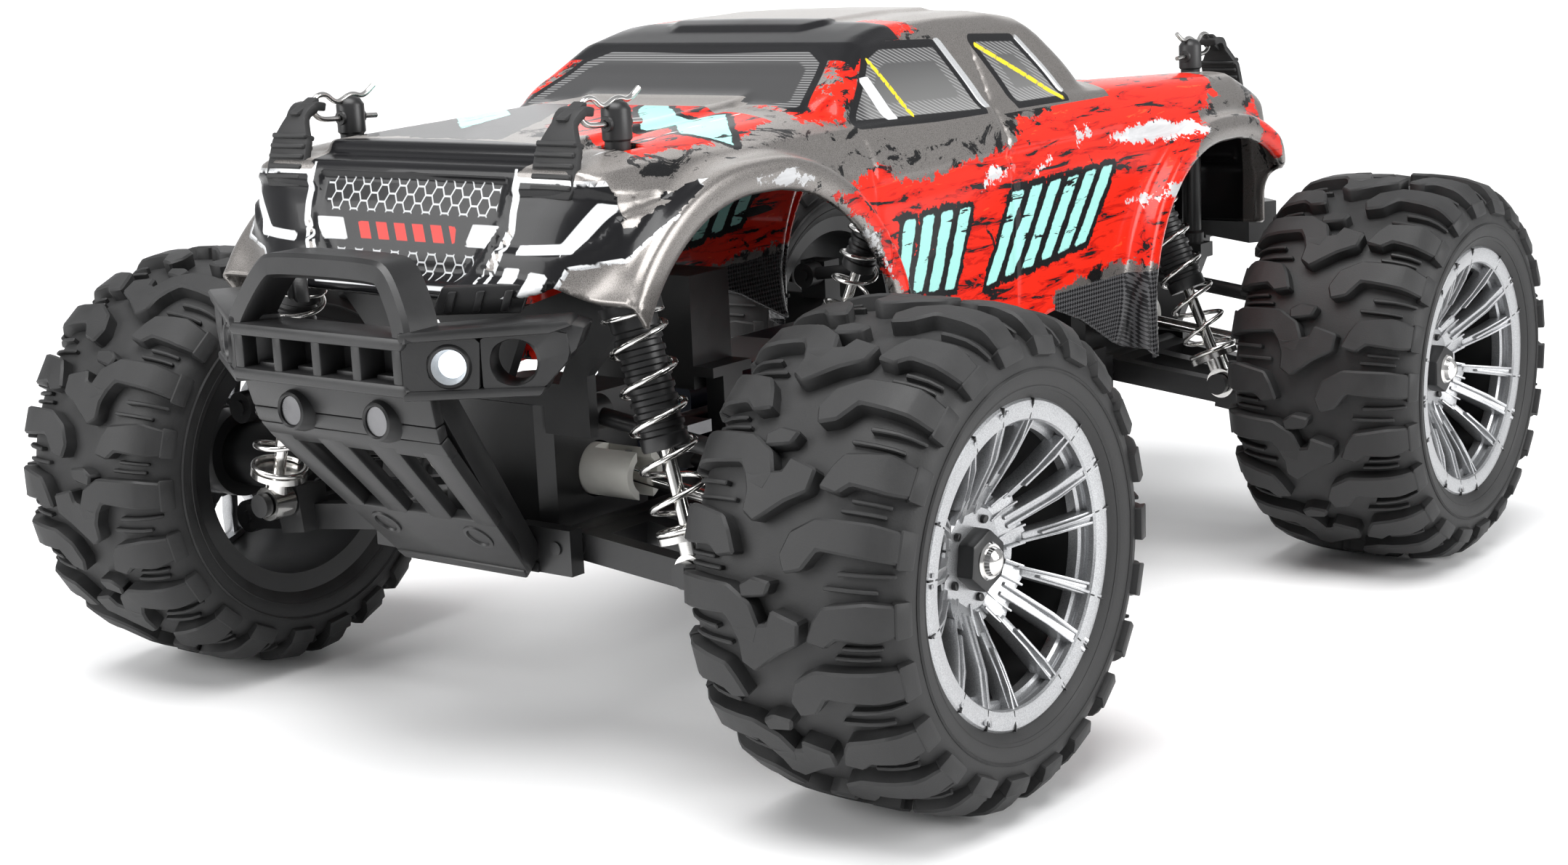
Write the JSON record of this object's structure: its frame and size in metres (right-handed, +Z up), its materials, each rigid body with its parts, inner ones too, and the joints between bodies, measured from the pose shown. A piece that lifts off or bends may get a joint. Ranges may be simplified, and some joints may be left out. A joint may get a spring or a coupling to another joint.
{
  "type": "radio-controlled monster truck",
  "caption": "Electric off-road toy truck with oversized tyres, long-travel wishbone suspension, shaft drive, steering and a clipped-on thin body shell.",
  "frame": {"origin": "on the ground, midway between the two axles and between the two bumpers, on the truck's centre plane", "axes": "-Y towards the front of the truck, +X towards its left side, +Z up"},
  "size_m": [0.222, 0.3, 0.1315],
  "materials": {
    "anodised": "black anodised",
    "battery_wrap": "shrink wrap",
    "black_nylon": "fine-textured nylon",
    "bright_steel": "polished",
    "gear_brass": "machined",
    "lamp_lens": "frosted white, lit",
    "motor_can": "zinc plated can",
    "shell_print": "painted polycarbonate, glossy",
    "silver_rim": "satin silver plated",
    "steel": "plain steel",
    "tyre_rubber": "matte",
    "white_nylon": "natural nylon"
  },
  "bodies": {
    "chassis": {"chassis_tub": "black_nylon", "front_bumper": "black_nylon", "rear_bumper": "black_nylon", "bumper_lamps": "lamp_lens", "gearbox_housings": "black_nylon", "shock_towers": "black_nylon", "body_posts": "black_nylon", "body_clips": "steel", "body_shell": "shell_print", "servo": "black_nylon", "motor": "motor_can", "battery": "battery_wrap", "speed_controller": "anodised", "chassis_screws": "steel"},
    "front_left_arm": {"front_left_lower_arm": "black_nylon"},
    "front_left_hub": {"front_left_caster_block": "black_nylon"},
    "front_left_knuckle": {"front_left_steering_knuckle": "black_nylon"},
    "front_left_wheel": {"front_left_tyre": "tyre_rubber", "front_left_rim": "silver_rim"},
    "front_left_link": {"front_left_upper_link": "black_nylon"},
    "front_left_shaft": {"front_left_driveshaft": "steel"},
    "front_left_damper": {"front_left_shock_cylinder": "black_nylon", "front_left_shock_spring": "bright_steel"},
    "front_left_piston": {"front_left_shock_rod": "steel"},
    "front_right_arm": {"front_right_lower_arm": "black_nylon"},
    "front_right_hub": {"front_right_caster_block": "black_nylon"},
    "front_right_knuckle": {"front_right_steering_knuckle": "black_nylon"},
    "front_right_wheel": {"front_right_tyre": "tyre_rubber", "front_right_rim": "silver_rim"},
    "front_right_link": {"front_right_upper_link": "black_nylon"},
    "front_right_shaft": {"front_right_driveshaft": "steel"},
    "front_right_damper": {"front_right_shock_cylinder": "black_nylon", "front_right_shock_spring": "bright_steel"},
    "front_right_piston": {"front_right_shock_rod": "steel"},
    "rear_left_arm": {"rear_left_lower_arm": "black_nylon"},
    "rear_left_hub": {"rear_left_hub_carrier": "black_nylon"},
    "rear_left_wheel": {"rear_left_tyre": "tyre_rubber", "rear_left_rim": "silver_rim"},
    "rear_left_link": {"rear_left_upper_link": "black_nylon"},
    "rear_left_shaft": {"rear_left_driveshaft": "steel"},
    "rear_left_damper": {"rear_left_shock_cylinder": "black_nylon", "rear_left_shock_spring": "bright_steel"},
    "rear_left_piston": {"rear_left_shock_rod": "steel"},
    "rear_right_arm": {"rear_right_lower_arm": "black_nylon"},
    "rear_right_hub": {"rear_right_hub_carrier": "black_nylon"},
    "rear_right_wheel": {"rear_right_tyre": "tyre_rubber", "rear_right_rim": "silver_rim"},
    "rear_right_link": {"rear_right_upper_link": "black_nylon"},
    "rear_right_shaft": {"rear_right_driveshaft": "steel"},
    "rear_right_damper": {"rear_right_shock_cylinder": "black_nylon", "rear_right_shock_spring": "bright_steel"},
    "rear_right_piston": {"rear_right_shock_rod": "steel"},
    "front_left_track_rod": {"front_left_tie_rod": "black_nylon"},
    "front_right_track_rod": {"front_right_tie_rod": "black_nylon"},
    "steering_slide": {"steering_plate": "steel"},
    "horn": {"servo_horn": "white_nylon"},
    "front_diff": {"front_differential": "white_nylon"},
    "rear_diff": {"rear_differential": "white_nylon"},
    "centre_shaft": {"centre_driveline": "steel"},
    "motor_shaft": {"motor_pinion": "gear_brass"}
  },
  "joints": [
    {"name": "front_left_arm_swing", "type": "hinge", "parent": "chassis", "child": "front_left_arm", "pos_m": [0.022, -0.095, 0.041], "axis": [0, -1, 0], "range_deg": [0, 20], "stiffness_Nm_per_rad": 1, "springref_deg": -20.05},
    {"name": "front_left_hub_level", "type": "hinge", "parent": "front_left_arm", "child": "front_left_hub", "pos_m": [0.074, -0.095, 0.034], "axis": [0, 1, 0], "range_deg": [-1, 21]},
    {"name": "front_left_steer", "type": "hinge", "parent": "front_left_hub", "child": "front_left_knuckle", "pos_m": [0.074, -0.095, 0.044], "axis": [0, 0, 1], "range_deg": [-20, 20]},
    {"name": "front_left_wheel_spin", "type": "hinge", "parent": "front_left_knuckle", "child": "front_left_wheel", "pos_m": [0.089, -0.095, 0.044], "axis": [1, 0, 0], "continuous": true},
    {"name": "front_left_link_swing", "type": "hinge", "parent": "chassis", "child": "front_left_link", "pos_m": [0.022, -0.104, 0.064], "axis": [0, -1, 0], "range_deg": [-1, 21]},
    {"name": "front_left_shaft_spin", "type": "hinge", "parent": "front_left_arm", "child": "front_left_shaft", "pos_m": [0.022, -0.095, 0.051], "axis": [0.9915, 0, -0.1297], "continuous": true},
    {"name": "front_left_damper_swing", "type": "hinge", "parent": "chassis", "child": "front_left_damper", "pos_m": [0.04, -0.115, 0.097], "axis": [0, -1, 0], "range_deg": [-8, 8]},
    {"name": "front_left_piston_slide", "type": "slide", "parent": "front_left_damper", "child": "front_left_piston", "axis": [-0.2587, 0, 0.9659], "range_m": [0, 0.01167], "deforming": ["front_left_shock_spring"]},
    {"name": "front_right_arm_swing", "type": "hinge", "parent": "chassis", "child": "front_right_arm", "pos_m": [-0.022, -0.095, 0.041], "axis": [0, 1, 0], "range_deg": [0, 20], "stiffness_Nm_per_rad": 1, "springref_deg": -20.05},
    {"name": "front_right_hub_level", "type": "hinge", "parent": "front_right_arm", "child": "front_right_hub", "pos_m": [-0.074, -0.095, 0.034], "axis": [0, -1, 0], "range_deg": [-1, 21]},
    {"name": "front_right_steer", "type": "hinge", "parent": "front_right_hub", "child": "front_right_knuckle", "pos_m": [-0.074, -0.095, 0.044], "axis": [0, 0, 1], "range_deg": [-21, 21]},
    {"name": "front_right_wheel_spin", "type": "hinge", "parent": "front_right_knuckle", "child": "front_right_wheel", "pos_m": [-0.089, -0.095, 0.044], "axis": [1, 0, 0], "continuous": true},
    {"name": "front_right_link_swing", "type": "hinge", "parent": "chassis", "child": "front_right_link", "pos_m": [-0.022, -0.104, 0.064], "axis": [0, 1, 0], "range_deg": [-1, 21]},
    {"name": "front_right_shaft_spin", "type": "hinge", "parent": "front_right_arm", "child": "front_right_shaft", "pos_m": [-0.022, -0.095, 0.051], "axis": [0.9915, 0, 0.1297], "continuous": true},
    {"name": "front_right_damper_swing", "type": "hinge", "parent": "chassis", "child": "front_right_damper", "pos_m": [-0.04, -0.115, 0.097], "axis": [0, 1, 0], "range_deg": [-8, 8]},
    {"name": "front_right_piston_slide", "type": "slide", "parent": "front_right_damper", "child": "front_right_piston", "axis": [0.2587, 0, 0.9659], "range_m": [0, 0.01167], "deforming": ["front_right_shock_spring"]},
    {"name": "rear_left_arm_swing", "type": "hinge", "parent": "chassis", "child": "rear_left_arm", "pos_m": [0.022, 0.095, 0.041], "axis": [0, -1, 0], "range_deg": [0, 20], "stiffness_Nm_per_rad": 1, "springref_deg": -20.05},
    {"name": "rear_left_hub_level", "type": "hinge", "parent": "rear_left_arm", "child": "rear_left_hub", "pos_m": [0.074, 0.095, 0.034], "axis": [0, 1, 0], "range_deg": [-1, 21]},
    {"name": "rear_left_wheel_spin", "type": "hinge", "parent": "rear_left_hub", "child": "rear_left_wheel", "pos_m": [0.089, 0.095, 0.044], "axis": [1, 0, 0], "continuous": true},
    {"name": "rear_left_link_swing", "type": "hinge", "parent": "chassis", "child": "rear_left_link", "pos_m": [0.022, 0.089, 0.064], "axis": [0, -1, 0], "range_deg": [-1, 21]},
    {"name": "rear_left_shaft_spin", "type": "hinge", "parent": "rear_left_arm", "child": "rear_left_shaft", "pos_m": [0.022, 0.095, 0.051], "axis": [0.9915, 0, -0.1297], "continuous": true},
    {"name": "rear_left_damper_swing", "type": "hinge", "parent": "chassis", "child": "rear_left_damper", "pos_m": [0.033, 0.075, 0.095], "axis": [0, -1, 0], "range_deg": [-8, 8]},
    {"name": "rear_left_piston_slide", "type": "slide", "parent": "rear_left_damper", "child": "rear_left_piston", "axis": [-0.4061, 0, 0.9138], "range_m": [0, 0.01192], "deforming": ["rear_left_shock_spring"]},
    {"name": "rear_right_arm_swing", "type": "hinge", "parent": "chassis", "child": "rear_right_arm", "pos_m": [-0.022, 0.095, 0.041], "axis": [0, 1, 0], "range_deg": [0, 20], "stiffness_Nm_per_rad": 1, "springref_deg": -20.05},
    {"name": "rear_right_hub_level", "type": "hinge", "parent": "rear_right_arm", "child": "rear_right_hub", "pos_m": [-0.074, 0.095, 0.034], "axis": [0, -1, 0], "range_deg": [-1, 21]},
    {"name": "rear_right_wheel_spin", "type": "hinge", "parent": "rear_right_hub", "child": "rear_right_wheel", "pos_m": [-0.089, 0.095, 0.044], "axis": [1, 0, 0], "continuous": true},
    {"name": "rear_right_link_swing", "type": "hinge", "parent": "chassis", "child": "rear_right_link", "pos_m": [-0.022, 0.089, 0.064], "axis": [0, 1, 0], "range_deg": [-1, 21]},
    {"name": "rear_right_shaft_spin", "type": "hinge", "parent": "rear_right_arm", "child": "rear_right_shaft", "pos_m": [-0.022, 0.095, 0.051], "axis": [0.9915, 0, 0.1297], "continuous": true},
    {"name": "rear_right_damper_swing", "type": "hinge", "parent": "chassis", "child": "rear_right_damper", "pos_m": [-0.033, 0.075, 0.095], "axis": [0, 1, 0], "range_deg": [-8, 8]},
    {"name": "rear_right_piston_slide", "type": "slide", "parent": "rear_right_damper", "child": "rear_right_piston", "axis": [0.4061, 0, 0.9138], "range_m": [0, 0.01192], "deforming": ["rear_right_shock_spring"]},
    {"name": "steering_slide", "type": "slide", "parent": "chassis", "child": "steering_slide", "axis": [1, 0, 0], "range_m": [-0.00565, 0.00565]},
    {"name": "horn_turn", "type": "hinge", "parent": "chassis", "child": "horn", "pos_m": [0, -0.0625, 0.06], "axis": [0, 0, 1], "range_deg": [-23, 23]},
    {"name": "front_left_tie_rod_swing", "type": "hinge", "parent": "steering_slide", "child": "front_left_track_rod", "pos_m": [0.022, -0.079, 0.051], "axis": [0, -1, 0], "range_deg": [-1, 21]},
    {"name": "front_right_tie_rod_swing", "type": "hinge", "parent": "steering_slide", "child": "front_right_track_rod", "pos_m": [-0.022, -0.079, 0.051], "axis": [0, 1, 0], "range_deg": [-1, 21]},
    {"name": "front_diff_spin", "type": "hinge", "parent": "chassis", "child": "front_diff", "pos_m": [0, -0.095, 0.051], "axis": [1, 0, 0], "continuous": true},
    {"name": "rear_diff_spin", "type": "hinge", "parent": "chassis", "child": "rear_diff", "pos_m": [0, 0.095, 0.051], "axis": [1, 0, 0], "continuous": true},
    {"name": "centre_shaft_spin", "type": "hinge", "parent": "chassis", "child": "centre_shaft", "pos_m": [0, 0, 0.051], "axis": [0, 1, 0], "continuous": true},
    {"name": "motor_spin", "type": "hinge", "parent": "chassis", "child": "motor_shaft", "pos_m": [0.0151, 0.03, 0.051], "axis": [0, 1, 0], "continuous": true}
  ],
  "couplings": [
    {"joint": "front_left_hub_level", "follows": "front_left_arm_swing", "ratio": 1},
    {"joint": "front_left_link_swing", "follows": "front_left_arm_swing", "ratio": 1},
    {"joint": "front_left_shaft_spin", "follows": "front_left_wheel_spin", "ratio": 1},
    {"joint": "front_left_damper_swing", "follows": "front_left_arm_swing", "ratio": 0.077474},
    {"joint": "front_left_piston_slide", "follows": "front_left_arm_swing", "m_per_rad": 0.032572},
    {"joint": "front_right_hub_level", "follows": "front_right_arm_swing", "ratio": 1},
    {"joint": "front_right_steer", "follows": "front_left_steer", "ratio": 1},
    {"joint": "front_right_wheel_spin", "follows": "front_left_wheel_spin", "ratio": 1},
    {"joint": "front_right_link_swing", "follows": "front_right_arm_swing", "ratio": 1},
    {"joint": "front_right_shaft_spin", "follows": "front_left_wheel_spin", "ratio": 1},
    {"joint": "front_right_damper_swing", "follows": "front_right_arm_swing", "ratio": 0.077474},
    {"joint": "front_right_piston_slide", "follows": "front_right_arm_swing", "m_per_rad": 0.032572},
    {"joint": "rear_left_hub_level", "follows": "rear_left_arm_swing", "ratio": 1},
    {"joint": "rear_left_wheel_spin", "follows": "front_left_wheel_spin", "ratio": 1},
    {"joint": "rear_left_link_swing", "follows": "rear_left_arm_swing", "ratio": 1},
    {"joint": "rear_left_shaft_spin", "follows": "front_left_wheel_spin", "ratio": 1},
    {"joint": "rear_left_damper_swing", "follows": "rear_left_arm_swing", "ratio": 0.1894},
    {"joint": "rear_left_piston_slide", "follows": "rear_left_arm_swing", "m_per_rad": 0.033293},
    {"joint": "rear_right_hub_level", "follows": "rear_right_arm_swing", "ratio": 1},
    {"joint": "rear_right_wheel_spin", "follows": "front_left_wheel_spin", "ratio": 1},
    {"joint": "rear_right_link_swing", "follows": "rear_right_arm_swing", "ratio": 1},
    {"joint": "rear_right_shaft_spin", "follows": "front_left_wheel_spin", "ratio": 1},
    {"joint": "rear_right_damper_swing", "follows": "rear_right_arm_swing", "ratio": 0.1894},
    {"joint": "rear_right_piston_slide", "follows": "rear_right_arm_swing", "m_per_rad": 0.033293},
    {"joint": "steering_slide", "follows": "front_left_steer", "m_per_rad": -0.01575},
    {"joint": "horn_turn", "follows": "front_left_steer", "ratio": -1.0862},
    {"joint": "front_left_tie_rod_swing", "follows": "front_left_arm_swing", "ratio": 1},
    {"joint": "front_right_tie_rod_swing", "follows": "front_right_arm_swing", "ratio": 1},
    {"joint": "front_diff_spin", "follows": "front_left_wheel_spin", "ratio": 1},
    {"joint": "rear_diff_spin", "follows": "front_left_wheel_spin", "ratio": 1},
    {"joint": "centre_shaft_spin", "follows": "front_left_wheel_spin", "ratio": -3},
    {"joint": "motor_spin", "follows": "front_left_wheel_spin", "ratio": 9}
  ]
}
